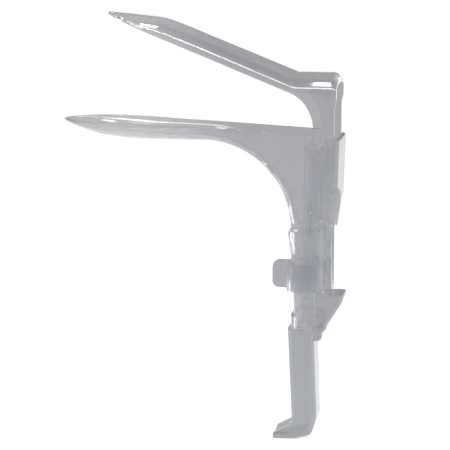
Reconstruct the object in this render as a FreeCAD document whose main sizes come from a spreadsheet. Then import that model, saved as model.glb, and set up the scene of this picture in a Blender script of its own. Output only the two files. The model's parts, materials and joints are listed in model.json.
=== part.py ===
"""Bivalve speculum: a clear moulded lower blade with its handle, an upper blade hinged on a
carriage that climbs the handle by a ratchet, and the small levers that work the ratchets.

Millimetres. X runs from the blade tips (-X) to the user's side (+X), Y across, Z up.
The origin is the middle of the grip, where the hand closes. The blades are drawn open.
"""
import FreeCAD, Part
import math
import os

import Sketcher
from FreeCAD import Rotation, Vector

# Driving dimensions: alias, value in mm (degrees for angles, plain numbers for shares), meaning.
SIZES = [
    ("wall", 1.8, "moulded wall of blades, neck and handle"),
    ("blade_width", 31.0, "outer width of both blades"),
    ("yoke_width", 34.0, "outer width across the arms of the upper blade"),
    ("lower_taper", 42.0, "length over which the lower blade thins to its tip"),
    ("upper_taper", 27.0, "length over which the upper blade thins to its tip"),
    ("tip_round", 22.0, "length of the rounded tip in plan"),
    ("bow_share", 0.85, "share of a blade's depth that is curved"),
    ("lower_tip", -113.4, "X of the lower blade's tip"),
    ("belly_power", 2.5, "how late the lower blade's belly rises to the tip"),
    ("rim_height", 119.0, "Z of the lower rim at the tip"),
    ("rim_fall", 4.5, "how far the lower rim falls towards the yoke"),
    ("rim_fall_start", -84.0, "X where the lower rim starts to fall"),
    ("lower_depth", 8.9, "depth of the lower blade, rim to underside"),
    ("neck_radius", 40.6, "radius of the neck's outer curve"),
    ("web_width", 29.0, "outer width of the webs where the arms pass them"),
    ("web_rear", 6.5, "X of the webs' rear edge"),
    ("web_foot", 78.0, "Z where the webs step back into the handle"),
    ("neck_width", 24.6, "outer width at the foot of the neck"),
    ("handle_width", 22.0, "outer width of the handle"),
    ("handle_front", -5.6, "X of the handle's front at the neck"),
    ("handle_rear", 4.9, "X of the handle's open rear edge"),
    ("handle_bow", 4.0, "depth of the rounded front of the handle"),
    ("handle_end", 24.6, "Z of the handle's lower end"),
    ("handle_lean", 1.8, "how far the handle's front comes back at its lower end"),
    ("collar_tall", 5.2, "height of the collar at the handle's end"),
    ("collar_step", 1.7, "how far that collar stands proud"),
    ("handle_square", 0.45, "squareness of the handle's front, from 0 for round to 0.9 for square"),
    ("stop_rise", 1.4, "height of the finger stop's top above the foot of the neck"),
    ("stop_gap", 1.4, "distance from the finger clip up to the finger stop"),
    ("stop_step", 1.8, "how far the finger stop stands proud"),
    ("lip_top", 58.0, "Z of the top of the lips that hold the rail"),
    ("lip_thick", 1.8, "thickness of those lips along X"),
    ("slide_gap", 0.4, "running gap between the rail and what guides it"),
    ("side_gap", 0.4, "gap between the arms and the carriage"),
    ("grip_width", 16.0, "outer width of the grip"),
    ("grip_wall", 1.9, "wall of the grip's channel"),
    ("grip_front", -6.6, "X of the grip's front at its top"),
    ("grip_rear", 5.4, "X of the grip's rear at its top"),
    ("grip_taper", 2.2, "how far the grip's front comes back at the foot"),
    ("grip_lean", 1.7, "how far the grip's rear moves back at the foot"),
    ("foot_top", -22.2, "Z of the bend on top of the foot"),
    ("foot_bottom", -29.6, "Z of the foot's sole"),
    ("foot_reach", -13.6, "X of the end of the foot"),
    ("foot_thick", 2.8, "thickness of the foot's end"),
    ("foot_bend", 5.0, "radius of the bend above the foot"),
    ("heel_height", -19.0, "Z where the heel's slope starts"),
    ("tongue_tall", 13.0, "height of the tongue that plugs the grip into the handle"),
    ("tongue_thick", 2.6, "thickness of that tongue"),
    ("clip_low", 41.4, "Z of the lower edge of the finger clip"),
    ("clip_tall", 13.0, "height of the finger clip"),
    ("clip_wall", 1.7, "wall of the finger clip"),
    ("clip_gap", 0.1, "seating gap between the clip and the handle"),
    ("clip_ledge", 4.4, "how far the ledges on the clip's top edge reach back behind it"),
    ("ledge_tall", 1.4, "height of those ledges"),
    ("tab_reach", 8.0, "how far the finger tab stands out in front of the clip"),
    ("tab_thick", 3.0, "thickness of the finger tab"),
    ("tab_round", 3.0, "corner radius of the finger tab"),
    ("rail_low", 40.6, "Z of the rail's lower end"),
    ("rail_rear", 13.3, "X of the rail's rear edge"),
    ("rail_wall", 1.8, "wall of the rail"),
    ("rail_foot", 2.8, "length along X of the rail's foot inside the handle"),
    ("ladder_low", 46.0, "Z of the lowest ratchet tooth on the rail"),
    ("ladder_pitch", 2.8, "pitch of the ratchet teeth on the rail"),
    ("ladder_teeth", 7, "number of ratchet teeth on the rail"),
    ("tooth_depth", 1.2, "depth of the ratchet teeth"),
    ("pawl_gap", 0.25, "gap between a pawl's nose and the teeth it rides over"),
    ("floor_drop", 13.7, "how far the carriage's floor lies below the pivot"),
    ("guide_front", 0.8, "X of the front edge of the carriage's guides"),
    ("plate_tall", 38.8, "height of the rear plate above the floor"),
    ("plate_rear", 17.4, "X of the rear plate's outer face"),
    ("plate_foot_rise", 10.4, "height above the floor where the rear plate starts to slope in"),
    ("cheek_drop", 3.5, "how far the cheeks stay below the plate's top"),
    ("guide_drop", 2.3, "how far the guides' front stays below the plate's top"),
    ("guide_slope", 8.0, "how far the guides' top edge falls to the cheeks"),
    ("pivot_rear", 12.8, "X of the blade pivot"),
    ("pivot_height", 87.7, "Z of the blade pivot"),
    ("pivot_radius", 2.0, "radius of the pivot's trunnions"),
    ("pivot_fit", 0.05, "radial running clearance of every pin"),
    ("hub_radius", 3.4, "radius of the boss round the pivot on each arm"),
    ("hub_step", 0.9, "how far that boss stands proud"),
    ("upper_tip", -92.0, "X of the upper blade's tip, open"),
    ("shoulder_soft", 0.14, "roundness of the shoulder where the upper blade starts to thin"),
    ("blade_slope", 21.6, "slope of the open upper blade, in degrees"),
    ("upper_depth", 8.6, "depth of the upper blade, crown to rim"),
    ("yoke_top", 142.3, "Z of the yoke's crown"),
    ("yoke_front", -3.4, "X where the yoke's crown starts to slope"),
    ("yoke_rear", 16.0, "X of the yoke's rear edge"),
    ("yoke_round", 3.3, "radius of the yoke's rolled rear edge"),
    ("yoke_flare", -45.0, "X where the upper blade starts to widen to the yoke"),
    ("arm_front", 5.5, "X of the arms' front edge"),
    ("arch_drop", 16.9, "height of the curve at the top of the arms' front edge"),
    ("arch_front", -9.0, "X where the arms' front edge meets the rim"),
    ("arm_slope", 0.9, "how far the arms' rear edge stands in from the yoke's"),
    ("lobe_step", 5.6, "how far the sector's rear reaches behind the pivot"),
    ("sector_radius", 14.0, "radius of the toothed sector below the pivot"),
    ("sector_front", 7.2, "X of the sector's front edge"),
    ("sector_teeth", 5, "number of teeth on the sector"),
    ("sector_pitch", 7.5, "pitch of the sector's teeth, in degrees"),
    ("rib_tall", 1.3, "height of the grip ribs on the sector's front"),
    ("rib_step", 0.6, "how far those ribs stand proud"),
    ("pawl_front", 3.4, "X of the front of the blade pawl's press pad"),
    ("pawl_tall", 12.7, "height of the blade pawl"),
    ("pawl_thick", 1.6, "thickness of the blade pawl"),
    ("pawl_slope", 1.9, "how far the press pad's rear edge stays below its top"),
    ("pawl_pin_rear", 9.0, "X of the blade pawl's pin"),
    ("pawl_pin_radius", 0.9, "radius of the blade pawl's pin"),
    ("trigger_pin_rear", 7.2, "X of the trigger's pin"),
    ("trigger_pin_height", 20.8, "Z of the trigger's pin"),
    ("trigger_pin_radius", 1.1, "radius of the trigger's pin"),
    ("barrel_radius", 2.1, "radius of the trigger's barrel"),
    ("ear_radius", 2.5, "radius of the ears that hold the pin"),
    ("ear_thick", 1.8, "thickness of those ears"),
    ("trigger_width", 16.0, "width of the trigger"),
    ("trigger_top", 39.6, "Z of the trigger's top"),
    ("trigger_rear", 19.1, "X of the trigger's rear corner"),
    ("trigger_wall", 1.8, "wall of the trigger"),
    ("finger_width", 8.0, "width of the trigger's ratchet finger"),
    ("finger_top", 63.4, "Z of the top of that finger"),
]


class Dim(float):
    """A length that also carries its formula in the sheet, so that sums of sizes stay bound."""

    def __new__(cls, value, formula):
        dim = super().__new__(cls, value)
        dim.formula = formula
        return dim

    def combine(self, other, sign, value, swapped=False):
        theirs = getattr(other, "formula", f"({float(other)})")
        pair = (theirs, self.formula) if swapped else (self.formula, theirs)
        return Dim(value, f"({pair[0]} {sign} {pair[1]})")

    def __add__(self, other):
        return self.combine(other, "+", float(self) + float(other))

    def __radd__(self, other):
        return self.combine(other, "+", float(self) + float(other), True)

    def __sub__(self, other):
        return self.combine(other, "-", float(self) - float(other))

    def __rsub__(self, other):
        return self.combine(other, "-", float(other) - float(self), True)

    def __mul__(self, other):
        return self.combine(other, "*", float(self) * float(other))

    def __rmul__(self, other):
        return self.combine(other, "*", float(self) * float(other), True)

    def __truediv__(self, other):
        return self.combine(other, "/", float(self) / float(other))

    def __neg__(self):
        return self * -1


doc = FreeCAD.newDocument("bivalve_speculum")
sheet = doc.addObject("Spreadsheet::Sheet", "Sizes")
for row, (alias, value, note) in enumerate(SIZES, start=1):
    sheet.set(f"A{row}", note)
    sheet.set(f"B{row}", str(value))
    sheet.setAlias(f"B{row}", alias)
doc.recompute()
s = {alias: Dim(sheet.get(alias), f"Sizes.{alias}") for alias, value, note in SIZES}

# Places that several pieces share.
beyond = s["yoke_top"]                 # past every edge of the part, for cutting tools
belly = s["rim_height"] - s["lower_depth"]
neck_centre = Vector(s["handle_front"] - s["neck_radius"], 0, belly - s["neck_radius"])
arm_inner = s["yoke_width"] / 2 - s["wall"]
arm_rear = s["yoke_rear"] - s["arm_slope"]
cheek_outer = arm_inner - s["side_gap"]
lug_outer = cheek_outer - 0.2
guide_outer = s["neck_width"] / 2 - s["wall"] - s["slide_gap"]
channel_half = s["handle_width"] / 2 - s["wall"]
waist_half = channel_half - s["wall"] - s["slide_gap"]
stop_low = s["clip_low"] + s["clip_tall"] + s["stop_gap"]
sector_low = s["pivot_height"] - s["sector_radius"]
floor_level = s["pivot_height"] - s["floor_drop"]
plate_top = floor_level + s["plate_tall"]
plate_foot = floor_level + s["plate_foot_rise"]
pawl_pin_height = floor_level - s["pawl_pin_radius"] - 1.0


# Blades and neck: each is a loft through U-shaped sections, less the same loft one wall further in.
BOW_CHORDS = 14                        # chords that draw the bow of each section


def trough_section(base, inward, width, bow, depth, square=0.0):
    """Closed U: a half-ellipse bow through base, squared off if asked, and legs along inward."""
    side = Vector(0, width / 2, 0)
    spring = base + inward * bow
    points = []
    for step in range(BOW_CHORDS + 1):
        turn = math.pi * step / BOW_CHORDS
        across = math.copysign(abs(math.cos(turn)) ** (1 - square), math.cos(turn))
        down = abs(math.sin(turn)) ** (1 - square)
        points.append(spring + side * across - inward * (bow * down))
    rim = base + inward * depth
    return Part.makePolygon([rim + side] + points + [rim - side, rim + side])


def loft(sections, straight=False):
    return Part.makeLoft(sections, True, straight)


def prism(points, half_width):
    """Plate over an outline of (x, z) points, centred on Y = 0."""
    corners = [Vector(x, -half_width, z) for x, z in points]
    face = Part.Face(Part.makePolygon(corners + corners[:1]))
    return face.extrude(Vector(0, 2 * half_width, 0))


def plate_pair(solid_between, inner_half):
    """The two outer slices of a solid that spans Y, with the middle taken out."""
    middle = Part.makeBox(4 * beyond, 2 * inner_half, 4 * beyond,
                          Vector(-2 * beyond, -inner_half, -2 * beyond))
    return solid_between.cut(middle)


def plan_share(distance):
    """Share of the full width at this distance from a rounded tip."""
    left = max(0.0, 1 - distance / s["tip_round"])
    return math.sqrt(1 - left * left)


def lower_rim(x):
    run = max(0.0, x - s["rim_fall_start"])
    return s["rim_height"] - s["rim_fall"] * run / (s["web_rear"] - s["rim_fall_start"])


def ease(share):
    """Share of a change that starts and ends gently."""
    share = min(1.0, max(0.0, share))
    return share * share * (3 - 2 * share)


# Stations along the thinned tip, as shares of its length.
TIP_STATIONS = (0.004, 0.02, 0.05, 0.1, 0.17, 0.26, 0.36, 0.48, 0.6, 0.72, 0.85, 1.0)
NECK_ANGLES = (80, 70, 60, 50, 40, 30, 20, 10, 0)
RIM_ALLOWANCE = 6.0                    # how far the lofts stand past the rim before it is trimmed


def lower_body(skin):
    """Solid lower blade, neck and handle, taken skin inside the outer face."""
    up = Vector(0, 0, 1)
    tip = s["lower_tip"] + 1.3 * skin
    taper_end = s["lower_tip"] + s["lower_taper"]
    inner_width = s["blade_width"] - 2 * skin
    blade = []
    for share in TIP_STATIONS:
        x = tip + share * (taper_end - tip)
        full = lower_rim(x) - belly
        depth = (full - skin) * (1 - (1 - share) ** s["belly_power"])
        bow = depth - (1 - s["bow_share"]) * full * share
        width = inner_width * plan_share(x - tip)
        blade.append(trough_section(Vector(x, 0, lower_rim(x) - depth), up, width, bow,
                                    depth + RIM_ALLOWANCE))
    full = lower_rim(neck_centre.x) - belly
    blade_bow = s["bow_share"] * full
    neck = [trough_section(Vector(neck_centre.x, 0, belly + skin), up, inner_width,
                           blade_bow - skin, full - skin + RIM_ALLOWANCE)]
    corner = Vector(s["web_rear"], 0, lower_rim(s["web_rear"]))
    longest = corner.distanceToPoint(neck_centre) - s["neck_radius"] + RIM_ALLOWANCE
    shortest = s["web_rear"] - s["handle_front"] + 2
    for angle in NECK_ANGLES:
        turn = math.radians(angle)
        inward = Vector(math.cos(turn), 0, math.sin(turn))
        upper = ease((90 - angle) / 45)
        width = s["blade_width"] + (s["web_width"] - s["blade_width"]) * upper
        width += (s["neck_width"] - s["web_width"]) * ease((60 - angle) / 60)
        bow = blade_bow + (s["handle_bow"] - blade_bow) * upper - skin
        depth = shortest + (longest - shortest) * math.sin(2 * turn) ** 2
        neck.append(trough_section(neck_centre + inward * (s["neck_radius"] + skin), inward,
                                   width - 2 * skin, bow, depth,
                                   s["handle_square"] * ease((60 - angle) / 60)))
    handle = [handle_section(z, skin) for z in (neck_centre.z, stop_low, s["handle_end"] - 4)]
    straight = loft([blade[-1], neck[0]], straight=True)
    return loft(blade).fuse([straight, loft(neck), loft(handle, straight=True)])


def handle_front_at(z):
    share = (neck_centre.z - z) / (neck_centre.z - s["handle_end"])
    return s["handle_front"] + s["handle_lean"] * share


def handle_section(z, skin, proud=0.0):
    """Section of the handle below the neck, or of a band that stands proud of it."""
    width = s["neck_width"] + (s["handle_width"] - s["neck_width"]) * ease(
        (neck_centre.z - z) / (neck_centre.z - stop_low))
    front = handle_front_at(z)
    return trough_section(Vector(front + skin - proud, 0, z), Vector(1, 0, 0),
                          width - 2 * skin + proud, s["handle_bow"] - skin + proud,
                          s["handle_rear"] - front + proud + (0.0 if proud else 4.0),
                          s["handle_square"])


def make_lower_blade():
    outer = lower_body(0)
    inner = lower_body(s["wall"])
    end = s["handle_end"]
    front = handle_front_at(end) - s["collar_step"]
    section = trough_section(Vector(front, 0, end), Vector(1, 0, 0),
                             s["handle_width"] + 2 * s["collar_step"],
                             s["handle_bow"] + s["collar_step"], s["handle_rear"] - front,
                             s["handle_square"])
    collar = Part.Face(section).extrude(Vector(0, 0, s["collar_tall"]))
    stop_top = neck_centre.z + s["stop_rise"]
    stop_peak = stop_top - 0.2 * (stop_top - stop_low)
    stop = loft([
        handle_section(stop_top, 0, 0.1),
        handle_section(0.4 * stop_top + 0.6 * stop_peak, 0, 0.8 * s["stop_step"]),
        handle_section(stop_peak, 0, s["stop_step"]),
        handle_section(stop_low, 0, 0.1),
    ], straight=True)
    trim = prism([
        (s["lower_tip"] - beyond, s["rim_height"]),
        (s["rim_fall_start"], s["rim_height"]),
        (s["web_rear"], lower_rim(s["web_rear"])),
        (s["web_rear"], s["web_foot"]),
        (s["handle_rear"], s["web_foot"] - 6),
        (s["handle_rear"], end),
        (s["lower_tip"] - beyond, end),
    ], beyond)
    shell = outer.fuse([collar, stop]).cut(inner).common(trim)
    ear_face = Part.makeCylinder(s["ear_radius"], 2 * beyond,
                                 Vector(s["trigger_pin_rear"], -beyond, s["trigger_pin_height"]),
                                 Vector(0, 1, 0))
    ear_arm = prism([
        (s["handle_rear"] - s["lip_thick"], end),
        (s["trigger_pin_rear"] - s["ear_radius"], s["trigger_pin_height"]),
        (s["trigger_pin_rear"] + s["ear_radius"], s["trigger_pin_height"]),
        (s["handle_rear"] + 3.0, end + s["collar_tall"]),
        (s["handle_rear"] - s["lip_thick"], end + s["collar_tall"]),
    ], beyond)
    ear_outer = s["trigger_width"] / 2 + s["slide_gap"] + s["ear_thick"]
    ear_box = Part.makeBox(2 * beyond, 2 * ear_outer, 2 * beyond,
                           Vector(-beyond, -ear_outer, -beyond))
    ears = plate_pair(ear_face.fuse(ear_arm).common(ear_box), ear_outer - s["ear_thick"])
    pin_hole = Part.makeCylinder(s["trigger_pin_radius"], 2 * beyond,
                                 Vector(s["trigger_pin_rear"], -beyond, s["trigger_pin_height"]),
                                 Vector(0, 1, 0))
    lip_low = end + s["collar_tall"]
    lip_half = channel_half + 0.5 * s["wall"]
    lips = Part.makeBox(s["lip_thick"], 2 * lip_half, s["lip_top"] - lip_low,
                        Vector(s["handle_rear"] - s["lip_thick"], -lip_half, lip_low))
    lips = plate_pair(lips, waist_half + s["slide_gap"])
    return shell.fuse([ears, lips]).cut(pin_hole).removeSplitter()


# Upper blade: an arch that rises from the yoke to the tip, with two arms down to the pivot.
# Only the near arm carries the toothed sector, and the far one ends round.

def crown_line(x):
    return s["yoke_top"] + max(0.0, s["yoke_front"] - x) * math.tan(math.radians(s["blade_slope"]))


def upper_body(skin):
    """Solid upper blade and yoke, taken skin inside the outer face."""
    down = Vector(0, 0, -1)
    tip = s["upper_tip"] + 1.3 * skin
    length = s["upper_tip"] + s["upper_taper"] - tip
    straight_depth = (1 - s["bow_share"]) * s["upper_depth"]
    tip_part = []
    for share in TIP_STATIONS + (1.15, 1.3, 1.5):
        x = tip + share * length
        left = 1 - share
        thinned = (left + math.sqrt(left ** 2 + s["shoulder_soft"] ** 2)) / 2
        depth = max(0.05, (s["upper_depth"] - skin) * (1 - thinned))
        width = (s["blade_width"] - 2 * skin) * plan_share(x - tip)
        rim = crown_line(x) - s["upper_depth"]
        tip_part.append(trough_section(Vector(x, 0, rim + depth), down, width,
                                       depth - straight_depth * min(1.0, share), depth + 0.6 * skin))
    middle = [tip_part[-1]]
    yoke = []
    bends = [s["yoke_rear"] - s["yoke_round"] * (1 - math.sin(math.radians(angle)))
             for angle in (0, 20, 40, 60, 80)]
    if skin:
        bends.append(s["yoke_rear"] + 3)
    for x in [s["yoke_flare"], s["arch_front"], s["yoke_front"]] + bends:
        flare = (x - s["yoke_flare"]) / (s["arch_front"] - s["yoke_flare"])
        width = s["blade_width"] + (s["yoke_width"] - s["blade_width"]) * min(1.0, flare)
        roll = max(0.0, min(s["yoke_round"] * 0.985, x - (s["yoke_rear"] - s["yoke_round"])))
        roll = s["yoke_round"] - math.sqrt(s["yoke_round"] ** 2 - roll ** 2)
        depth = s["upper_depth"] - roll - skin
        section = trough_section(Vector(x, 0, crown_line(x) - roll - skin), down, width - 2 * skin,
                                 depth - straight_depth, depth + 0.6 * skin)
        if x < s["yoke_rear"] - s["yoke_round"]:
            middle.append(section)
        else:
            yoke.append(section)
    middle.append(yoke[0])
    return loft(tip_part).fuse([loft(middle, straight=True), loft(yoke)])


def arm_plate(outer, inner, lower_end):
    """One arm between two Y planes: down from the yoke, past the pivot, to its lower end."""
    rim = crown_line(s["arch_front"]) - s["upper_depth"]
    spring = s["yoke_top"] - s["bow_share"] * s["upper_depth"]
    slope = math.tan(math.radians(s["blade_slope"]))
    arch_low = rim - s["arch_drop"]
    run = s["arm_front"] - s["arch_front"]
    start = Vector(s["arch_front"], outer, rim)
    middle = Vector(s["arch_front"] + 0.70 * run, outer, arch_low + 0.64 * s["arch_drop"])
    finish = Vector(s["arm_front"], outer, arch_low)
    end_edges = [edge.translated(Vector(0, outer, 0)) for edge in lower_end]
    path = [
        end_edges[-1].Vertexes[-1].Point,
        Vector(arm_rear, outer, spring - 8),
        Vector(s["yoke_rear"], outer, spring - 4),
        Vector(s["yoke_rear"], outer, spring),
        Vector(s["yoke_front"], outer, spring),
        Vector(s["arch_front"], outer, spring + slope * (s["yoke_front"] - s["arch_front"])),
        start,
    ]
    edges = [
        Part.Arc(start, middle, finish).toShape(),
        Part.LineSegment(finish, end_edges[0].Vertexes[0].Point).toShape(),
    ] + end_edges + [Part.LineSegment(a, b).toShape() for a, b in zip(path, path[1:])]
    return Part.Face(Part.Wire(edges)).extrude(Vector(0, inner - outer, 0))


def plain_end():
    """Round lower end, from the front edge to the rear edge of the arm."""
    middle = (s["arm_front"] + arm_rear) / 2
    level = s["pivot_height"]
    arc = Part.Arc(Vector(s["arm_front"], 0, level), Vector(middle, 0, level - (middle - s["arm_front"])),
                   Vector(arm_rear, 0, level))
    return [arc.toShape()]


def sector_end():
    """Lower end with the sector that carries the teeth, concentric with the pivot."""
    sector_rear = s["pivot_rear"] + 4.2
    lobe_rear = s["pivot_rear"] + s["lobe_step"]
    level = s["pivot_height"]
    low_front = level - math.sqrt(s["sector_radius"] ** 2 - (s["pivot_rear"] - s["sector_front"]) ** 2)
    low_rear = level - math.sqrt(s["sector_radius"] ** 2 - (sector_rear - s["pivot_rear"]) ** 2)
    front = [
        Vector(s["arm_front"], 0, level - 1.5),
        Vector(s["sector_front"], 0, level - 3),
        Vector(s["sector_front"], 0, low_front),
    ]
    rear = [
        Vector(sector_rear, 0, low_rear),
        Vector(lobe_rear, 0, level - 3),
        Vector(lobe_rear, 0, level + 2),
        Vector(arm_rear, 0, level + 7),
    ]
    edges = [Part.LineSegment(a, b).toShape() for a, b in zip(front, front[1:])]
    edges.append(Part.Arc(front[-1], Vector(s["pivot_rear"], 0, sector_low), rear[0]).toShape())
    return edges + [Part.LineSegment(a, b).toShape() for a, b in zip(rear, rear[1:])]


def sector_gaps():
    """The V gaps between the sector's teeth, turned about the pivot."""
    pivot = Vector(s["pivot_rear"], -s["yoke_width"] / 2, s["pivot_height"])
    gap = math.radians(s["sector_pitch"] / 2)
    outer = s["sector_radius"] + 1
    root = s["sector_radius"] - s["tooth_depth"]
    points = [
        pivot + Vector(-outer * math.sin(gap), 0, -outer * math.cos(gap)),
        pivot + Vector(0, 0, -root),
        pivot + Vector(0, 0, -outer),
    ]
    tooth = Part.Face(Part.makePolygon(points + points[:1])).extrude(Vector(0, s["wall"], 0))
    gaps = []
    count = int(s["sector_teeth"])
    for index in range(count):
        turned = tooth.copy()
        turned.rotate(pivot, Vector(0, 1, 0), s["sector_pitch"] * (index - (count - 1) / 2))
        gaps.append(turned)
    return gaps[0].fuse(gaps[1:])


def make_upper_blade():
    arch = upper_body(0).cut(upper_body(s["wall"]))
    half = s["yoke_width"] / 2
    near_arm = arm_plate(-half, -arm_inner, sector_end()).cut(sector_gaps())
    far_arm = arm_plate(half, arm_inner, plain_end())
    reach = half + s["hub_step"]
    axis_start = Vector(s["pivot_rear"], -reach, s["pivot_height"])
    hubs = plate_pair(Part.makeCylinder(s["hub_radius"], 2 * reach, axis_start, Vector(0, 1, 0)), arm_inner)
    bore = Part.makeCylinder(s["pivot_radius"] + s["pivot_fit"], 2 * reach, axis_start, Vector(0, 1, 0))
    rib_run = s["pivot_rear"] - s["hub_radius"] * 0.6 - s["sector_front"]
    rib_low = sector_low + 3
    rib_space = (s["pivot_height"] - 3 - s["rib_tall"] - rib_low) / 2
    ribs = [Part.makeBox(rib_run, s["rib_step"] + 0.5 * s["wall"], s["rib_tall"],
                         Vector(s["sector_front"], -half - s["rib_step"], rib_low + index * rib_space))
            for index in range(3)]
    return arch.fuse([near_arm, far_arm, hubs] + ribs).cut(bore).removeSplitter()


def add_feature(name, shape):
    feature = doc.addObject("Part::Feature", name)
    feature.Label = name
    feature.Shape = shape
    feature.Placement = FreeCAD.Placement()
    return feature


# Sketched pieces: every corner of an outline is bound to the sheet by its formula.

def new_body(name):
    body = doc.addObject("PartDesign::Body", name)
    body.Label = name
    return body


def bind(target, path, dim):
    if hasattr(dim, "formula"):
        target.setExpression(path, dim.formula)


def new_sketch(body, plane, name, offset=None):
    sketch = body.newObject("Sketcher::SketchObject", name)
    origin_plane = next(f for f in body.Origin.OriginFeatures if f.Role == plane)
    sketch.AttachmentSupport = [(origin_plane, "")]
    sketch.MapMode = "FlatFace"
    if offset is not None:
        sketch.AttachmentOffset = FreeCAD.Placement(Vector(0, 0, offset), Rotation())
        bind(sketch, ".AttachmentOffset.Base.z", offset)
    return sketch


def constrain(sketch, kind, *arguments):
    """Add a constraint and bind its value, the last argument, to the sheet."""
    index = sketch.addConstraint(Sketcher.Constraint(kind, *arguments[:-1], float(arguments[-1])))
    bind(sketch, f"Constraints[{index}]", arguments[-1])


def outline(sketch, corners):
    """Closed outline through (x, y) or (x, y, radius) corners."""
    count = len(corners)
    points = [Vector(float(corner[0]), float(corner[1]), 0) for corner in corners]
    ends = []
    for index, corner in enumerate(corners):
        point = points[index]
        radius = float(corner[2]) if len(corner) > 2 else 0.0
        if not radius:
            ends.append((point, point, None))
            continue
        back = (points[index - 1] - point).normalize()
        ahead = (points[(index + 1) % count] - point).normalize()
        half = back.getAngle(ahead) / 2
        centre = point + (back + ahead).normalize() * (radius / math.sin(half))
        run = radius / math.tan(half)
        ends.append((point + back * run, point + ahead * run, centre))
    lines = []
    for index in range(count):
        start, finish = ends[index][1], ends[(index + 1) % count][0]
        lines.append(sketch.addGeometry(Part.LineSegment(start, finish)))
    for index, corner in enumerate(corners):
        before, after = lines[index - 1], lines[index]
        first, last, centre = ends[index]
        if centre is None:
            sketch.addConstraint(Sketcher.Constraint("Coincident", before, 2, after, 1))
            constrain(sketch, "DistanceX", after, 1, corner[0])
            constrain(sketch, "DistanceY", after, 1, corner[1])
            continue
        circle = Part.Circle(centre, Vector(0, 0, 1), float(corner[2]))
        first_angle, last_angle = circle.parameter(first), circle.parameter(last)
        forward = (first - centre).cross(last - centre).z > 0
        angles = (first_angle, last_angle) if forward else (last_angle, first_angle)
        arc = sketch.addGeometry(Part.ArcOfCircle(circle, *angles))
        sketch.addConstraint(Sketcher.Constraint("Tangent", before, 2, arc, 1 if forward else 2))
        sketch.addConstraint(Sketcher.Constraint("Tangent", after, 1, arc, 2 if forward else 1))
        constrain(sketch, "Radius", arc, corner[2])
        mark = sketch.addGeometry(Part.Point(points[index]), True)
        sketch.addConstraint(Sketcher.Constraint("PointOnObject", mark, 1, before))
        sketch.addConstraint(Sketcher.Constraint("PointOnObject", mark, 1, after))
        constrain(sketch, "DistanceX", mark, 1, corner[0])
        constrain(sketch, "DistanceY", mark, 1, corner[1])


def circle(sketch, x, y, radius):
    index = sketch.addGeometry(Part.Circle(Vector(float(x), float(y), 0), Vector(0, 0, 1), float(radius)))
    constrain(sketch, "DistanceX", index, 3, x)
    constrain(sketch, "DistanceY", index, 3, y)
    constrain(sketch, "Radius", index, radius)


def extrude(body, kind, name, sketch, length, symmetric=True, flip=False):
    """Pad or Pocket of a sketch; a symmetric one has the given full length."""
    feature = body.newObject(f"PartDesign::{kind}", name)
    feature.Profile = sketch
    feature.SideType = "Symmetric" if symmetric else "One side"
    feature.Reversed = flip
    feature.Length = float(length)
    bind(feature, "Length", length)
    return feature


def pad(body, name, plane, corners, length, **options):
    sketch = new_sketch(body, plane, f"{name}_sketch", options.pop("offset", None))
    outline(sketch, corners)
    return extrude(body, "Pad", name, sketch, length, **options)


def pocket(body, name, plane, corners, length, **options):
    sketch = new_sketch(body, plane, f"{name}_sketch", options.pop("offset", None))
    outline(sketch, corners)
    return extrude(body, "Pocket", name, sketch, length, **options)


def round_feature(body, kind, name, x, z, radius, length, offset=None):
    sketch = new_sketch(body, "XZ_Plane", f"{name}_sketch", offset)
    circle(sketch, x, z, radius)
    return extrude(body, kind, name, sketch, length)


def make_grip():
    body = new_body("grip")
    top = s["handle_end"]
    wall = s["grip_wall"]
    front_low = s["grip_front"] + s["grip_taper"]
    rear_low = s["grip_rear"] + s["grip_lean"]
    width = s["grip_width"]
    notch = s["trigger_pin_rear"] - s["barrel_radius"] - s["slide_gap"]
    notch_low = s["trigger_pin_height"] - 1.2 * s["barrel_radius"]
    pad(body, "grip_bar", "XZ_Plane", [
        (s["grip_front"], top, 1.0),
        (front_low, s["foot_top"], s["foot_bend"]),
        (s["foot_reach"] + 0.3, s["foot_bottom"] + s["foot_thick"], 0.8),
        (s["foot_reach"], s["foot_bottom"], 0.5),
        (front_low + 1.4, s["foot_bottom"] + 0.3, 8.0),
        (rear_low - 2.6, s["foot_bottom"] + 2.4, 3.0),
        (rear_low, s["heel_height"], 2.0),
        (s["grip_rear"] + 0.16 * s["grip_lean"], notch_low - 0.7),
        (notch, notch_low, 0.4),
        (notch, top),
    ], width)
    pocket(body, "grip_channel", "XZ_Plane", [
        (s["grip_front"] - 20, top - 1.2 * wall),
        (s["grip_rear"] - wall, top - 1.2 * wall, 2.0),
        (rear_low - wall, s["heel_height"] + 0.6, 3.0),
        (rear_low - 2.6 - 0.9 * wall, s["foot_bottom"] + 2.2 + wall, 3.0),
        (front_low + 1.0, s["foot_bottom"] + 0.3 + wall, 6.0),
        (s["grip_front"] - 20, s["foot_bottom"] - 1.4 + wall),
    ], width - 2 * wall)
    tongue_rear = s["handle_rear"] - s["lip_thick"] - 0.1
    tongue_half = channel_half - 0.02
    neck_half = s["grip_width"] / 2 - 0.6
    pad(body, "grip_tongue", "YZ_Plane", [
        (-neck_half, top - 0.6 * wall),
        (neck_half, top - 0.6 * wall),
        (neck_half, top + 0.05),
        (tongue_half, top + 0.05),
        (tongue_half, top + s["tongue_tall"], 1.5),
        (-tongue_half, top + s["tongue_tall"], 1.5),
        (-tongue_half, top + 0.05),
        (-neck_half, top + 0.05),
    ], s["tongue_thick"], symmetric=False, offset=tongue_rear - s["tongue_thick"])
    return body


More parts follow.
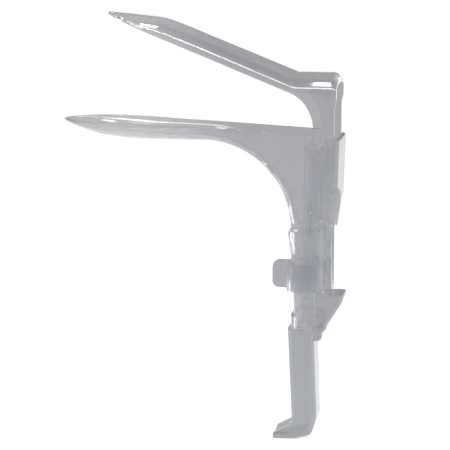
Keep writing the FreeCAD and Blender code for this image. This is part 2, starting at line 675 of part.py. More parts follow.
def make_finger_clip():
    body = new_body("finger_clip")
    gap = s["clip_gap"]
    wall = s["clip_wall"]
    inner_half = s["handle_width"] / 2 + gap
    outer_half = inner_half + wall
    front = s["handle_front"] + 0.55
    rear = s["handle_rear"] + gap
    lip_half = waist_half + s["slide_gap"]
    pad(body, "clip_band", "XY_Plane", [
        (front - wall, -outer_half, 2.2),
        (rear + wall, -outer_half, 1.0),
        (rear + wall, -lip_half, 0.5),
        (rear, -lip_half),
        (rear, -inner_half),
        (front, -inner_half, 1.6),
        (front, inner_half, 1.6),
        (rear, inner_half),
        (rear, lip_half),
        (rear + wall, lip_half, 0.5),
        (rear + wall, outer_half, 1.0),
        (front - wall, outer_half, 2.2),
    ], s["clip_tall"], symmetric=False, offset=s["clip_low"])
    tab_front = front - wall - s["tab_reach"]
    pad(body, "clip_tab", "XZ_Plane", [
        (tab_front, s["clip_low"] + 0.4, s["tab_round"]),
        (front - 0.5 * wall, s["clip_low"]),
        (front - 0.5 * wall, s["clip_low"] + s["clip_tall"]),
        (tab_front, s["clip_low"] + s["clip_tall"], s["tab_round"]),
    ], s["tab_thick"])
    ledge_rear = rear + wall + s["clip_ledge"]
    for side, name in ((1, "far_ledge"), (-1, "near_ledge")):
        pad(body, name, "XY_Plane", [
            (front + wall, side * inner_half),
            (ledge_rear, side * inner_half),
            (ledge_rear, side * outer_half),
            (front + wall, side * outer_half),
        ], s["ledge_tall"], symmetric=False, flip=True, offset=s["clip_low"] + s["clip_tall"])
    return body


def make_carriage():
    body = new_body("carriage")
    wall = s["rail_wall"]
    floor = floor_level
    pad(body, "pawl_lug", "XZ_Plane", [
        (s["pawl_pin_rear"] - 1.9, floor + 0.5),
        (s["pawl_pin_rear"] - 1.9, floor - 3.4, 1.2),
        (s["pawl_pin_rear"] + 1.9, floor - 3.4, 1.2),
        (s["pawl_pin_rear"] + 1.9, floor + 0.5),
    ], wall, offset=lug_outer - wall / 2)
    round_feature(body, "Pocket", "pawl_bore", s["pawl_pin_rear"], pawl_pin_height,
                  s["pawl_pin_radius"] + s["pivot_fit"], wall + 1, offset=lug_outer - wall / 2)
    cheek_front = s["web_rear"] + s["slide_gap"] + 0.5
    pad(body, "head", "XZ_Plane", [
        (s["guide_front"], floor),
        (s["plate_rear"] - 3.4, floor, 1.0),
        (s["plate_rear"] - 0.9, plate_foot, 2.0),
        (s["plate_rear"], plate_top, 1.2),
        (s["plate_rear"] - wall, plate_top),
        (s["plate_rear"] - wall, (plate_top - s["cheek_drop"])),
        (cheek_front, (plate_top - s["cheek_drop"]), 1.0),
        (cheek_front, (plate_top - s["guide_drop"]) - s["guide_slope"]),
        (s["guide_front"], (plate_top - s["guide_drop"]), 0.6),
    ], 2 * cheek_outer)
    round_feature(body, "Pad", "trunnions", s["pivot_rear"], s["pivot_height"], s["pivot_radius"],
                  s["yoke_width"] + 2 * s["hub_step"])
    inner_rear = s["plate_rear"] - wall - 0.1
    guide_inner = guide_outer - wall
    hollow = [
        (inner_rear - 2.9, floor + wall, 1.0),
        (inner_rear - 0.9, plate_foot, 2.0),
        (inner_rear, plate_top + 1),
        (inner_rear, plate_top + 5),
    ]
    pocket(body, "hollow", "XZ_Plane", [
        (s["guide_front"] - 5, floor + wall),
    ] + hollow + [
        (s["guide_front"] - 5, plate_top + 5),
    ], 2 * guide_inner)
    pocket(body, "wide_hollow", "XZ_Plane", [
        (cheek_front + wall, floor + wall),
    ] + hollow + [
        (cheek_front + wall, plate_top + 5),
    ], 2 * (cheek_outer - wall))
    for side, name in ((1, "far_step"), (-1, "near_step")):
        pocket(body, name, "XY_Plane", [
            (s["guide_front"] - 5, side * guide_outer),
            (cheek_front, side * guide_outer),
            (cheek_front, side * (cheek_outer + 2)),
            (s["guide_front"] - 5, side * (cheek_outer + 2)),
        ], plate_top - floor + 10, symmetric=False, flip=True, offset=floor - 1)
    foot_front = s["handle_rear"] - s["lip_thick"] - s["slide_gap"] - s["rail_foot"]
    foot_rear = foot_front + s["rail_foot"]
    foot_half = channel_half - s["slide_gap"]
    web_front = s["rail_rear"] - 3.2 * wall
    web_rear = web_front + wall
    inside = waist_half - wall
    pad(body, "rail", "XY_Plane", [
        (foot_front, -foot_half, 0.8),
        (foot_rear, -foot_half),
        (foot_rear, -waist_half),
        (s["rail_rear"], -waist_half, 0.8),
        (s["rail_rear"], -inside),
        (web_rear, -inside, 0.6),
        (web_rear, inside, 0.6),
        (s["rail_rear"], inside),
        (s["rail_rear"], waist_half, 0.8),
        (foot_rear, waist_half),
        (foot_rear, foot_half),
        (foot_front, foot_half, 0.8),
        (foot_front, inside),
        (web_front, inside, 0.6),
        (web_front, -inside, 0.6),
        (foot_front, -inside),
    ], floor - s["rail_low"] + 0.5, symmetric=False, offset=s["rail_low"])
    pad(body, "ladder_tooth", "XZ_Plane", [
        (web_rear - 0.4, s["ladder_low"]),
        (web_rear + s["tooth_depth"], s["ladder_low"]),
        (web_rear, s["ladder_low"] + 0.75 * s["ladder_pitch"]),
        (web_rear - 0.4, s["ladder_low"] + 0.75 * s["ladder_pitch"]),
    ], s["finger_width"])
    pattern = body.newObject("PartDesign::LinearPattern", "ladder")
    pattern.Originals = [body.getObject("ladder_tooth")]
    pattern.Direction = (next(f for f in body.Origin.OriginFeatures if f.Role == "Z_Axis"), [""])
    run = s["ladder_pitch"] * (s["ladder_teeth"] - 1)
    pattern.Length = float(run)
    bind(pattern, "Length", run)
    pattern.Occurrences = int(s["ladder_teeth"])
    bind(pattern, "Occurrences", s["ladder_teeth"])
    body.Tip = pattern
    return body


def make_near_pawl():
    """L-shaped lever on the near side: a press pad in front, a pin, and a nose under the sector."""
    body = new_body("near_pawl")
    outer = s["yoke_width"] / 2 - 0.1
    pin_end = lug_outer - s["rail_wall"] + 0.1
    thick = s["pawl_thick"]
    bar_low = pawl_pin_height - 0.5 * thick
    bar_top = pawl_pin_height + 0.5 * thick - 0.3
    nose_rear = s["pivot_rear"] + 0.6
    pad_rear = s["pawl_front"] + 0.8 * thick
    pad_top = bar_low + s["pawl_tall"]
    pad(body, "lever", "XZ_Plane", [
        (s["pawl_front"], bar_low, 1.0),
        (nose_rear, bar_low),
        (nose_rear, sector_low - s["pawl_gap"]),
        (nose_rear - 2.2, bar_top),
        (pad_rear, bar_top, 1.0),
        (pad_rear, pad_top - s["pawl_slope"]),
        (s["pawl_front"] + 0.4 * thick, pad_top),
        (s["pawl_front"], pad_top - 0.2 * thick),
    ], outer - arm_inner, offset=(outer + arm_inner) / 2)
    round_feature(body, "Pad", "pin", s["pawl_pin_rear"], pawl_pin_height, s["pawl_pin_radius"],
                  outer - pin_end, offset=(outer + pin_end) / 2)
    return body


def make_height_trigger():
    body = new_body("height_trigger")
    wall = s["trigger_wall"]
    width = s["trigger_width"]
    pin_x, pin_z = s["trigger_pin_rear"], s["trigger_pin_height"]
    barrel = s["barrel_radius"]
    top = s["trigger_top"]
    rear = s["trigger_rear"]
    front = s["handle_rear"] + 1.0
    pad(body, "wedge", "XZ_Plane", [
        (pin_x - 0.9 * barrel, pin_z),
        (pin_x + 0.2 * barrel, pin_z - 0.95 * barrel),
        (rear - 0.4, top - 2.8, 1.2),
        (rear, top, 1.0),
        (front, top, 0.6),
        (front, pin_z + 3 * barrel),
    ], width)
    pocket(body, "wedge_hollow", "XZ_Plane", [
        (pin_x - 3 * barrel, pin_z + barrel + 0.6),
        (pin_x + 0.9 * barrel, pin_z + barrel + 0.6),
        (rear - 1.5 * wall, top - wall - 1.6, 0.6),
        (rear - 1.5 * wall, top - wall, 0.5),
        (front - 3 * barrel, top - wall),
    ], width - 2 * wall)
    round_feature(body, "Pad", "barrel", pin_x, pin_z, barrel, width)
    recess = [
        (rear - 4.3, pin_z + 0.58 * (top - pin_z)),
        (pin_x + 3.4, pin_z + 0.66 * (top - pin_z), 2.6),
        (pin_x + 0.6, pin_z + 0.44 * (top - pin_z), 1.5),
        (pin_x + 0.5, pin_z + 0.18 * (top - pin_z)),
        (pin_x + 2.2, pin_z + 0.10 * (top - pin_z)),
    ]
    for side, flip in ((1, False), (-1, True)):
        name = "near_recess" if side == 1 else "far_recess"
        pocket(body, name, "XZ_Plane", recess, 0.3 * wall, symmetric=False, flip=flip,
               offset=side * width / 2)
    teeth_tip = s["rail_rear"] - 2.2 * s["rail_wall"] + s["tooth_depth"]
    nose = teeth_tip + s["pawl_gap"]
    finger_front = nose + 0.7
    pad(body, "finger", "XZ_Plane", [
        (finger_front, top - 0.5 * wall),
        (finger_front + 1.5, top - 0.5 * wall),
        (finger_front + 1.2, s["finger_top"], 0.5),
        (nose, s["finger_top"]),
        (nose, s["finger_top"] - 1.0),
        (finger_front, s["finger_top"] - 2.6),
    ], s["finger_width"] - 0.6)
    round_feature(body, "Pocket", "pin_bore", pin_x, pin_z, s["trigger_pin_radius"] + s["pivot_fit"],
                  2 * width)
    return body


def make_trigger_pin():
    pin = doc.addObject("Part::Cylinder", "trigger_pin")
    pin.Label = "trigger_pin"
    length = s["trigger_width"] + 2 * (s["slide_gap"] + s["ear_thick"])
    pin.setExpression("Radius", s["trigger_pin_radius"].formula)
    pin.setExpression("Height", length.formula)
    pin.Placement = FreeCAD.Placement(Vector(0, 0, 0), Rotation(Vector(1, 0, 0), -90))
    pin.setExpression(".Placement.Base.x", s["trigger_pin_rear"].formula)
    pin.setExpression(".Placement.Base.y", (-length / 2).formula)
    pin.setExpression(".Placement.Base.z", s["trigger_pin_height"].formula)
    return pin


pieces = [
    add_feature("lower_blade", make_lower_blade()),
    make_grip(),
    make_finger_clip(),
    make_trigger_pin(),
    make_carriage(),
    add_feature("upper_blade", make_upper_blade()),
    make_near_pawl(),
    make_height_trigger(),
]
doc.recompute()

for item in doc.Objects:
    if "Invalid" in item.State or "Error" in item.State:
        raise RuntimeError(f"{item.Label} did not build: {item.State}")
os.makedirs("parts", exist_ok=True)
for piece in pieces:
    shape = piece.Shape
    if shape.isNull() or not shape.isValid():
        raise RuntimeError(f"{piece.Label} has no valid shape")
    box = shape.BoundBox
    print(f"{piece.Label}: {len(shape.Solids)} solid(s), {shape.Volume:.1f} mm3, "
          f"X {box.XMin:.1f}..{box.XMax:.1f}, Y {box.YMin:.1f}..{box.YMax:.1f}, "
          f"Z {box.ZMin:.1f}..{box.ZMax:.1f}")
for piece in pieces:
    piece.Shape.exportStep(os.path.join("parts", f"{piece.Label}.step"))
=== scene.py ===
# %% [markdown]
# # A clear bivalve speculum
#
# This lesson dresses a finished CAD model of a disposable bivalve speculum: two trough-shaped
# blades on a handle, all moulded in clear polystyrene. The shapes come from the CAD. Blender adds
# what light does in clear plastic, and the small signs of moulding and handling.
#
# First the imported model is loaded. Each of its bodies is an empty that carries its nodes, so
# whatever rides on a body moves with it when a joint turns.

# %% Load the CAD frame
import json
import math

import bmesh
import bpy
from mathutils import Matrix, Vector


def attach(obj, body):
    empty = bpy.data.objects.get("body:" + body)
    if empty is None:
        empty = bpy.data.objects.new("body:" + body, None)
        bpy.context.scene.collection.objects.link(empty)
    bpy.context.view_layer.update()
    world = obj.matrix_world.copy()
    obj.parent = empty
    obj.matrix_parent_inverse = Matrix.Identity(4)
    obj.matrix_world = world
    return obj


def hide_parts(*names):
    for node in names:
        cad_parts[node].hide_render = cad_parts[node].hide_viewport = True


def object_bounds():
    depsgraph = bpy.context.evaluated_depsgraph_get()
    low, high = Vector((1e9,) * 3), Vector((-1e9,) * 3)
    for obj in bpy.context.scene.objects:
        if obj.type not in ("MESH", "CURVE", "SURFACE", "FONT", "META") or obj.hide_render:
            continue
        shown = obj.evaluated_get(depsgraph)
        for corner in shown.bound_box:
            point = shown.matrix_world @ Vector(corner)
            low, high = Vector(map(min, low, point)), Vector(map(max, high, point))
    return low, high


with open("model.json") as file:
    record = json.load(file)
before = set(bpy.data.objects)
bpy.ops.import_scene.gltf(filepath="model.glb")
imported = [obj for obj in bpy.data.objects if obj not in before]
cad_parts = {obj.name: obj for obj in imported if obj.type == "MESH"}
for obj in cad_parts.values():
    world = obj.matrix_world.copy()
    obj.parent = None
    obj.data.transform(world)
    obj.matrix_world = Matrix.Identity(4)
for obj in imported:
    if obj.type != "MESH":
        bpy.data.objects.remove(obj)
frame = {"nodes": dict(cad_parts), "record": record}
cad_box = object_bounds()
print("nodes:", sorted(frame["nodes"]))

# %% [markdown]
# ## The camera
#
# The photograph was taken from far away with a long lens, a little above the object and a little
# towards its rear. A camera one metre off with a long lens gives the same gentle perspective. It is
# set before anything else, so that every later choice can be judged in the frame that it is seen in.

# %% Camera at the photograph's angle
AIM = Vector((-0.0374, 0.0, 0.0700))        # the point in the middle of the picture
AZIMUTH, ELEVATION = math.radians(9.0), math.radians(10.0)
DISTANCE = 1.0

camera_data = bpy.data.cameras.new("camera")
camera = bpy.data.objects.new("camera", camera_data)
bpy.context.scene.collection.objects.link(camera)
back = Vector((
    math.sin(AZIMUTH) * math.cos(ELEVATION),
    -math.cos(AZIMUTH) * math.cos(ELEVATION),
    math.sin(ELEVATION),
))
camera.location = AIM + back * DISTANCE
camera.rotation_euler = (-back).to_track_quat("-Z", "Y").to_euler()
camera_data.sensor_width = 36.0
camera_data.lens = 171.3                    # 0.467 mm per pixel at one metre
camera_data.clip_start = 0.05
camera_data.clip_end = 20.0
camera_data.dof.use_dof = False
bpy.context.scene.camera = camera
print("camera at", [round(v, 3) for v in camera.location])

# %% [markdown]
# ## Smooth copies of the mouldings
#
# A CAD node arrives as loose triangles, and each one would catch the light by itself, like a cut
# gem. The real mouldings are smooth. So each node is copied, its doubled points are merged, and its
# faces are smoothed wherever they meet at a small angle, while the true corners get a fine rounded
# bevel, as polished mould steel leaves them. The copy then stands for the node.
#
# Flat areas are first melted into one face, which frees the bevels from the slivers of the CAD, and
# then cut again into well shaped triangles. Left whole, a face of a hundred corners can come out
# with a triangle turned the wrong way, and in clear plastic that shows as a dark patch.
#
# Where two pieces touch, their surfaces would lie in the same place, and light could not tell which
# one it meets first. Between real mouldings there is always a film of air, so here too.

# %% A smooth, softly edged copy of a node
WELD_DISTANCE = 2e-6                        # points nearer than this are one point
SLIVER = 1e-6                               # edges shorter than this are closed up
FLAT_WITHIN = math.radians(1.0)             # faces this close to one plane become one face
MOST_CORNERS = 4                            # a face with more is cut into triangles again
SHARP_ANGLE = math.radians(32.0)            # edges that turn by more are corners
AIR_FILM = 0.00001                          # how far each surface stands back
HIGHLIGHT_EDGE_SLOT = 1                               # the material slot that the bevels are given, which carries their painted highlight


def moulded_copy(node, edge_radius):
    """A merged, smooth-shaded copy of a CAD node with rounded corners."""
    mesh = frame["nodes"][node].data.copy()
    mesh.name = node + "_moulding"
    mesh.materials.clear()
    form = bmesh.new()
    form.from_mesh(mesh)
    bmesh.ops.remove_doubles(form, verts=form.verts, dist=WELD_DISTANCE)
    bmesh.ops.dissolve_degenerate(form, edges=form.edges, dist=SLIVER)
    bmesh.ops.dissolve_limit(
        form, angle_limit=FLAT_WITHIN, verts=form.verts, edges=form.edges,
        use_dissolve_boundaries=False, delimit=set())
    bmesh.ops.triangulate(
        form, faces=[face for face in form.faces if len(face.verts) > MOST_CORNERS],
        quad_method="BEAUTY", ngon_method="BEAUTY")
    for face in form.faces:
        face.smooth = True
    for edge in form.edges:
        edge.smooth = edge.is_manifold and edge.calc_face_angle(0.0) < SHARP_ANGLE
    form.normal_update()
    for vert in form.verts:
        vert.co -= vert.normal * AIR_FILM
    form.to_mesh(mesh)
    form.free()
    piece = bpy.data.objects.new(node + "_moulding", mesh)
    bpy.context.scene.collection.objects.link(piece)
    bevel = piece.modifiers.new("soft corners", "BEVEL")
    bevel.width = edge_radius
    bevel.segments = 2
    # the bevels get the painted highlight finish
    bevel.material = HIGHLIGHT_EDGE_SLOT
    bevel.limit_method = "ANGLE"
    bevel.angle_limit = SHARP_ANGLE
    bevel.harden_normals = True
    bevel.use_clamp_overlap = True
    return piece


# %% Every node gets its copy
EDGE_RADIUS = {
    "lower_blade": 0.00040,
    "upper_blade": 0.00040,
    "carriage": 0.00045,
    "grip": 0.00040,
    "finger_clip": 0.00050,
    "height_trigger": 0.00050,
    "near_pawl": 0.00035,
    "trigger_pin": 0.00015,
}
body_of_node = {
    node: body
    for body, members in frame["record"]["behaviour"]["bodies"].items()
    for node in members
}
mouldings = {}
for node, radius in EDGE_RADIUS.items():
    piece = moulded_copy(node, radius)
    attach(piece, body_of_node[node])
    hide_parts(node)
    mouldings[node] = piece
    print(f"{piece.name}: {len(piece.data.polygons)} faces on {body_of_node[node]}")

# %% [markdown]
# ## Moulded plastic: what the surface shows
#
# Clear polystyrene looks like glass with a lower shine, but a moulding is never quite flat. The melt
# leaves faint flow waves, and handling leaves a dust of hair-fine scratches. Two small node groups
# hold these effects, so that every piece can use them at its own strength.


# %% Two helpers for node trees
def new_group(name, inputs, outputs):
    """Empty shader group with the named sockets; returns the group and its two end nodes."""
    group = bpy.data.node_groups.new(name, "ShaderNodeTree")
    for label, value in inputs:
        socket = group.interface.new_socket(label, in_out="INPUT", socket_type="NodeSocketFloat")
        socket.default_value = value
    for label in outputs:
        group.interface.new_socket(label, in_out="OUTPUT", socket_type="NodeSocketFloat")
    return group, group.nodes.new("NodeGroupInput"), group.nodes.new("NodeGroupOutput")


def math_node(tree, operation, first, second):
    """Result of a Math node in a node tree; each input is a socket or a number."""
    node = tree.nodes.new("ShaderNodeMath")
    node.operation = operation
    for index, value in enumerate((first, second)):
        if isinstance(value, (int, float)):
            node.inputs[index].default_value = value
        else:
            tree.links.new(value, node.inputs[index])
    return node.outputs[0]


# %% Group: flow waves in a moulded surface
FLOW_STRETCH = (0.45, 1.0, 0.8)             # the waves run longest along the blades

flow_waves, flow_in, flow_out = new_group("flow_waves", [("Scale", 60.0), ("Depth", 0.15)], ["Height"])
flow_place = flow_waves.nodes.new("ShaderNodeTexCoord")
flow_stretch = flow_waves.nodes.new("ShaderNodeMapping")
flow_stretch.inputs["Scale"].default_value = FLOW_STRETCH
flow_noise = flow_waves.nodes.new("ShaderNodeTexNoise")
flow_noise.inputs["Detail"].default_value = 1.5
flow_noise.inputs["Roughness"].default_value = 0.35
flow_waves.links.new(flow_place.outputs["Object"], flow_stretch.inputs["Vector"])
flow_waves.links.new(flow_stretch.outputs["Vector"], flow_noise.inputs["Vector"])
flow_waves.links.new(flow_in.outputs["Scale"], flow_noise.inputs["Scale"])
flow_height = math_node(flow_waves, "MULTIPLY", flow_noise.outputs["Fac"], flow_in.outputs["Depth"])
flow_waves.links.new(flow_height, flow_out.inputs["Height"])
print("group:", flow_waves.name)

# %% Group: hair-fine scratches and a bloom of dust
SCRATCH_STRETCH = (1.0, 9.0, 14.0)          # the scratches are long and narrow
SCRATCH_TURN = (0.2, 0.5, 0.3)              # and run askew to the object
BLOOM_CONTRAST = 2.2
SCRATCH_CONTRAST = 3.0

handling, handling_in, handling_out = new_group(
    "handling_marks", [("Base", 0.05), ("Amount", 0.1)], ["Roughness"])
handling_place = handling.nodes.new("ShaderNodeTexCoord")
bloom = handling.nodes.new("ShaderNodeTexNoise")
bloom.inputs["Scale"].default_value = 190.0
bloom.inputs["Detail"].default_value = 4.0
scratch_stretch = handling.nodes.new("ShaderNodeMapping")
scratch_stretch.inputs["Scale"].default_value = SCRATCH_STRETCH
scratch_stretch.inputs["Rotation"].default_value = SCRATCH_TURN
scratch = handling.nodes.new("ShaderNodeTexNoise")
scratch.inputs["Scale"].default_value = 240.0
scratch.inputs["Detail"].default_value = 2.0
handling.links.new(handling_place.outputs["Object"], bloom.inputs["Vector"])
handling.links.new(handling_place.outputs["Object"], scratch_stretch.inputs["Vector"])
handling.links.new(scratch_stretch.outputs["Vector"], scratch.inputs["Vector"])
bloom_high = math_node(handling, "POWER", bloom.outputs["Fac"], BLOOM_CONTRAST)
scratch_high = math_node(handling, "POWER", scratch.outputs["Fac"], SCRATCH_CONTRAST)
marks = math_node(handling, "ADD", bloom_high, scratch_high)
marks = math_node(handling, "MULTIPLY", marks, handling_in.outputs["Amount"])
marks = math_node(handling, "ADD", marks, handling_in.outputs["Base"])
handling.links.new(marks, handling_out.inputs["Roughness"])
print("group:", handling.name)

# %% [markdown]
# ## The clear plastic itself
#
# The Principled shader does the optics: full transmission and an index of refraction near that of
# polystyrene. The object reads as one even blue-grey, however many walls lie behind each other, so
# one tint at every wall would make the crowded middle too dark. Light Path's Transmission Depth
# tells the first wall from the ones behind it: the first gives the tone, and each further one takes
# only a little more. The long ends of the two blades are a shade lighter than the rest, which a
# ramp along the object's length gives. The pieces differ a little, as separate mouldings do.

# %% Material: clear polystyrene
PLASTIC_IOR = 1.5
BLADE_END_TINT = (0.50, 0.505, 0.52, 1.0)   # the first wall at the thin ends of the blades
DEEP_TINT = (0.90, 0.905, 0.92, 1.0)        # what every further wall keeps
RAMP_START, RAMP_END = -0.035, -0.075       # the X between which the blades grow lighter
FIRST_WALL = 1.5                            # with more crossings behind it, light is past that wall
WAVE_STRENGTH = 0.5                         # how much of the waves' bump is used
WAVE_HEIGHT = 0.0006                        # the bump of a wave of full depth


def tone_at_wall(tree, tint):
    """Colour socket: the tint at the first wall, lighter at the blades' ends, pale further in."""
    place = tree.nodes.new("ShaderNodeTexCoord")
    along = tree.nodes.new("ShaderNodeSeparateXYZ")
    tree.links.new(place.outputs["Object"], along.inputs["Vector"])
    ramp = tree.nodes.new("ShaderNodeMapRange")
    ramp.inputs["From Min"].default_value = RAMP_START
    ramp.inputs["From Max"].default_value = RAMP_END
    tree.links.new(along.outputs["X"], ramp.inputs["Value"])
    first = tree.nodes.new("ShaderNodeMix")
    first.data_type = "RGBA"
    first.inputs["A"].default_value = (*tint, 1.0)
    first.inputs["B"].default_value = BLADE_END_TINT
    tree.links.new(ramp.outputs["Result"], first.inputs["Factor"])
    rays = tree.nodes.new("ShaderNodeLightPath")
    deeper = math_node(tree, "GREATER_THAN", rays.outputs["Transmission Depth"], FIRST_WALL)
    tone = tree.nodes.new("ShaderNodeMix")
    tone.data_type = "RGBA"
    tree.links.new(first.outputs["Result"], tone.inputs["A"])
    tone.inputs["B"].default_value = DEEP_TINT
    tree.links.new(deeper, tone.inputs["Factor"])
    return tone.outputs["Result"]


def add_handling_marks(tree, shader, base, amount):
    """Roughness of a finish: its own, and the marks on top."""
    wear = tree.nodes.new("ShaderNodeGroup")
    wear.node_tree = handling
    wear.inputs["Base"].default_value = base
    wear.inputs["Amount"].default_value = amount
    tree.links.new(wear.outputs["Roughness"], shader.inputs["Roughness"])


def clear_plastic(name, tint, wave_scale, wave_depth, roughness, marks_amount):
    """Clear moulded plastic whose first wall gives the tone; returns the material."""
    material = bpy.data.materials.new(name)
    material.use_nodes = True
    tree = material.node_tree
    shader = tree.nodes["Principled BSDF"]
    tree.links.new(tone_at_wall(tree, tint), shader.inputs["Base Color"])
    shader.inputs["Transmission Weight"].default_value = 1.0
    shader.inputs["IOR"].default_value = PLASTIC_IOR
    shader.inputs["Metallic"].default_value = 0.0
    waves = tree.nodes.new("ShaderNodeGroup")
    waves.node_tree = flow_waves
    waves.inputs["Scale"].default_value = wave_scale
    waves.inputs["Depth"].default_value = wave_depth
    bump = tree.nodes.new("ShaderNodeBump")
    bump.inputs["Strength"].default_value = WAVE_STRENGTH
    bump.inputs["Distance"].default_value = WAVE_HEIGHT
    tree.links.new(waves.outputs["Height"], bump.inputs["Height"])
    tree.links.new(bump.outputs["Normal"], shader.inputs["Normal"])
    add_handling_marks(tree, shader, roughness, marks_amount)
    return material


# %% Three mixes of it: long blades, stiff frame, small levers
blade_plastic = clear_plastic(
    "blade_plastic", (0.38, 0.385, 0.405),
    wave_scale=70.0, wave_depth=0.6, roughness=0.02, marks_amount=0.10)
frame_plastic = clear_plastic(
    "frame_plastic", (0.34, 0.35, 0.37),
    wave_scale=90.0, wave_depth=0.5, roughness=0.03, marks_amount=0.12)
lever_plastic = clear_plastic(
    "lever_plastic", (0.33, 0.335, 0.36),
    wave_scale=120.0, wave_depth=0.4, roughness=0.05, marks_amount=0.15)
finish_of = {
    "lower_blade": blade_plastic,
    "upper_blade": blade_plastic,
    "carriage": frame_plastic,
    "grip": frame_plastic,
    "finger_clip": lever_plastic,
    "height_trigger": lever_plastic,
    "near_pawl": lever_plastic,
    "trigger_pin": lever_plastic,
}
print("finishes:", sorted({material.name for material in finish_of.values()}))

# %% [markdown]
# ## Bright edges
#
# On clear plastic the rounded edges are the brightest lines, because each one gathers light from
# all round. An edge here is less than a pixel wide, so its bright line is a painted highlight: the
# bevel has a finish of its own, paler and with a metal-like share of reflection, which keeps the
# line whatever the angle.

# %% Material: the painted highlight on the rounded edges
# painted highlight: the bevels are far paler than the plastic around them
EDGE_HIGHLIGHT_TINT = (0.95, 0.955, 0.965, 1.0)
EDGE_HIGHLIGHT_MIRROR = 0.8                           # painted highlight: the share of light that an edge reflects as metal does

edge_highlight_plastic = bpy.data.materials.new("edge_highlight_plastic")
edge_highlight_plastic.use_nodes = True
edge_highlight_shader = edge_highlight_plastic.node_tree.nodes["Principled BSDF"]
edge_highlight_shader.inputs["Base Color"].default_value = EDGE_HIGHLIGHT_TINT
edge_highlight_shader.inputs["Metallic"].default_value = EDGE_HIGHLIGHT_MIRROR
edge_highlight_shader.inputs["Transmission Weight"].default_value = 1.0
edge_highlight_shader.inputs["IOR"].default_value = PLASTIC_IOR
add_handling_marks(edge_highlight_plastic.node_tree, edge_highlight_shader, base=0.08, amount=0.2)

# each piece gets its plastic, and its bevels get the painted highlight
for node, piece in mouldings.items():
    piece.data.materials.append(finish_of[node])
    piece.data.materials.append(edge_highlight_plastic)
    print(f"{piece.name}: {[material.name for material in piece.data.materials]}")

# %% [markdown]
# ## The set
#
# Clear plastic shows only what surrounds it. The set is white to the camera, and to the light that
# comes through the plastic or off it, while the object itself is lit at a plain level. Light Path
# tells these rays apart. The floor is pale plaster that keeps the object's faint shadow, and it
# glows just enough to those rays to meet the white behind it without a line.


# %% World: white to look at, plain as a light
def rays_that_see_white(tree):
    """Socket that is 1 for the rays that see the white set, and 0 for the rest."""
    rays = tree.nodes.new("ShaderNodeLightPath").outputs
    seen = math_node(tree, "MAXIMUM", rays["Is Camera Ray"], rays["Is Transmission Ray"])
    return math_node(tree, "MAXIMUM", seen, rays["Is Glossy Ray"])


WHITE = (1.0, 1.0, 1.0, 1.0)
WHITE_LEVEL = 1.0                           # how bright the set looks
LIGHT_LEVEL = 0.75                          # how bright it is as a light on the object

world = bpy.data.worlds.new("studio")
bpy.context.scene.world = world
world.use_nodes = True
background = world.node_tree.nodes["Background"]
level = world.node_tree.nodes.new("ShaderNodeMix")
level.data_type = "FLOAT"
level.inputs["A"].default_value = LIGHT_LEVEL
level.inputs["B"].default_value = WHITE_LEVEL
world.node_tree.links.new(rays_that_see_white(world.node_tree), level.inputs["Factor"])
background.inputs["Color"].default_value = WHITE
world.node_tree.links.new(level.outputs["Result"], background.inputs["Strength"])
print("world:", world.name)


# %% A flat panel, for the floor and the cards
def flat_panel(name, width, length):
    """Flat rectangle with its middle at the origin, facing up; returns the object."""
    form = bmesh.new()
    bmesh.ops.create_grid(form, x_segments=1, y_segments=1, size=0.5)
    bmesh.ops.scale(form, vec=(width, length, 1.0), verts=form.verts)
    mesh = bpy.data.meshes.new(name)
    form.to_mesh(mesh)
    form.free()
    panel = bpy.data.objects.new(name, mesh)
    bpy.context.scene.collection.objects.link(panel)
    return panel


# %% Pale floor under the foot
FLOOR_SIDE = 12.0
FLOOR_GAP = 0.0002                          # how far it lies under the object
PLASTER = (0.45, 0.45, 0.45, 1.0)
FLOOR_GLOW = 0.66                           # what brings lit plaster up to the white behind it

floor = flat_panel("floor", FLOOR_SIDE, FLOOR_SIDE)
floor.location.z = cad_box[0].z - FLOOR_GAP
floor_plaster = bpy.data.materials.new("floor_plaster")
floor_plaster.use_nodes = True
floor_tree = floor_plaster.node_tree
floor_shader = floor_tree.nodes["Principled BSDF"]
floor_shader.inputs["Base Color"].default_value = PLASTER
floor_shader.inputs["Roughness"].default_value = 1.0
floor_shader.inputs["Specular IOR Level"].default_value = 0.0
floor_shader.inputs["Emission Color"].default_value = WHITE
floor_glow = math_node(floor_tree, "MULTIPLY", rays_that_see_white(floor_tree), FLOOR_GLOW)
floor_tree.links.new(floor_glow, floor_shader.inputs["Emission Strength"])
floor.data.materials.append(floor_plaster)
print("floor at", round(floor.location.z, 4))

# %% [markdown]
# ## Cards and lamps
#
# Narrow glowing cards stand outside the picture, above and beside the object: each one draws a
# crisp streak along the curved walls. Wide dark cards stand behind those at the sides and on top,
# and the edges that bend light that far show them as thin dark lines. Two grey cards, ahead and
# behind, give the surfaces that face upwards something calmer than white to mirror. The cards are
# only seen in the plastic and light nothing else. Two soft lamps give the floor its shadow.

# %% Cards that the plastic shows
MIDDLE = (-0.03, 0, 0.08)                   # what the cards face


def turn_towards(thing, place, aim, front):
    """Put a card or lamp in its place, with its front axis towards the aim."""
    thing.location = place
    thing.rotation_euler = (Vector(aim) - Vector(place)).to_track_quat(front, "Y").to_euler()


def studio_card(name, size, place, strength):
    """Flat glowing card that faces the middle of the object; returns the card."""
    card = flat_panel(name, *size)
    turn_towards(card, place, MIDDLE, "Z")
    material = bpy.data.materials.new(name)
    material.use_nodes = True
    tree = material.node_tree
    tree.nodes.remove(tree.nodes["Principled BSDF"])
    glow = tree.nodes.new("ShaderNodeEmission")
    glow.inputs["Color"].default_value = WHITE
    glow.inputs["Strength"].default_value = strength
    tree.links.new(glow.outputs["Emission"], tree.nodes["Material Output"].inputs["Surface"])
    card.data.materials.append(material)
    card.visible_shadow = False
    card.visible_camera = False
    card.visible_diffuse = False
    return card


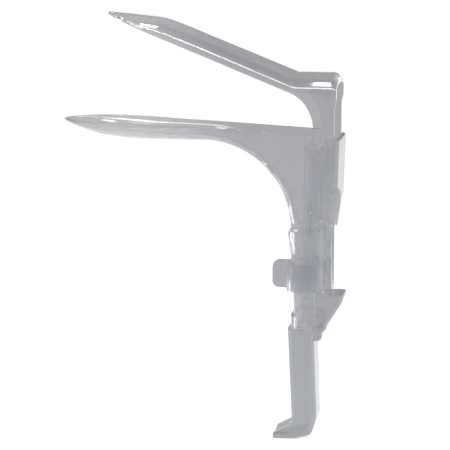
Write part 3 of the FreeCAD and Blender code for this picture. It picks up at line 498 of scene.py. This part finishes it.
# each card's size, its place and its strength
BRIGHT_AND_DARK_CARDS = {
    "card_top_front": ((1.0, 0.12), (-0.05, -0.55, 0.75), 22.0),
    "card_top": ((0.5, 0.12), (-0.05, 0.00, 0.95), 18.0),
    "card_left": ((0.35, 0.45), (-0.95, -0.20, 0.25), 34.0),
    "card_right": ((0.35, 0.45), (0.90, -0.20, 0.25), 34.0),
    "card_dark_left": ((1.3, 1.3), (-1.05, 0.10, 0.45), 0.03),
    "card_dark_right": ((1.3, 1.3), (1.00, 0.10, 0.45), 0.03),
    "card_dark_top": ((1.6, 1.2), (-0.05, 0.00, 1.15), 0.03),
}
GREY_CARDS = {
    "card_behind": ((3.0, 1.6), (-0.05, 1.60, 0.95), 0.30),
    "card_ahead": ((3.0, 1.6), (-0.05, -1.60, 0.95), 0.30),
}
for name, (size, place, strength) in BRIGHT_AND_DARK_CARDS.items():
    studio_card(name, size, place, strength)
for name, (size, place, strength) in GREY_CARDS.items():
    studio_card(name, size, place, strength).visible_transmission = False
print("cards:", [*BRIGHT_AND_DARK_CARDS, *GREY_CARDS])

# %% Two soft lamps
LAMP_AIM = (-0.03, 0, 0.07)

# each lamp's side, its power in watts and its place
LAMPS = {
    "key": (0.4, 6.0, (-0.4, -0.7, 0.7)),
    "fill": (0.6, 3.0, (0.6, -0.5, 0.4)),
}
for name, (side, power, place) in LAMPS.items():
    lamp_data = bpy.data.lights.new(name, "AREA")
    lamp_data.shape = "RECTANGLE"
    lamp_data.size, lamp_data.size_y = side, side
    lamp_data.energy = power
    lamp = bpy.data.objects.new(name, lamp_data)
    bpy.context.scene.collection.objects.link(lamp)
    turn_towards(lamp, place, LAMP_AIM, "-Z")
    print(f"{name} lamp: {power} W")

# %% [markdown]
# ## Light inside a wall, and the sizes
#
# Light that enters a thin wall near its edge runs a long way inside it, turned back at every
# surface, before it finds a way out. Cycles gives up such a ray after a set number of turns and
# leaves it black, so the number is raised. Last, the box of the CAD model is printed.

# %% View settings, sizes and the end of the script
WALL_CROSSINGS = 64                         # how many surfaces a ray may meet before it is given up

bpy.context.scene.view_settings.view_transform = "Standard"
bpy.context.scene.cycles.max_bounces = WALL_CROSSINGS
bpy.context.scene.cycles.transmission_bounces = WALL_CROSSINGS
bpy.context.scene.cycles.glossy_bounces = WALL_CROSSINGS
print("CAD box:", [[round(v, 4) for v in corner] for corner in cad_box])
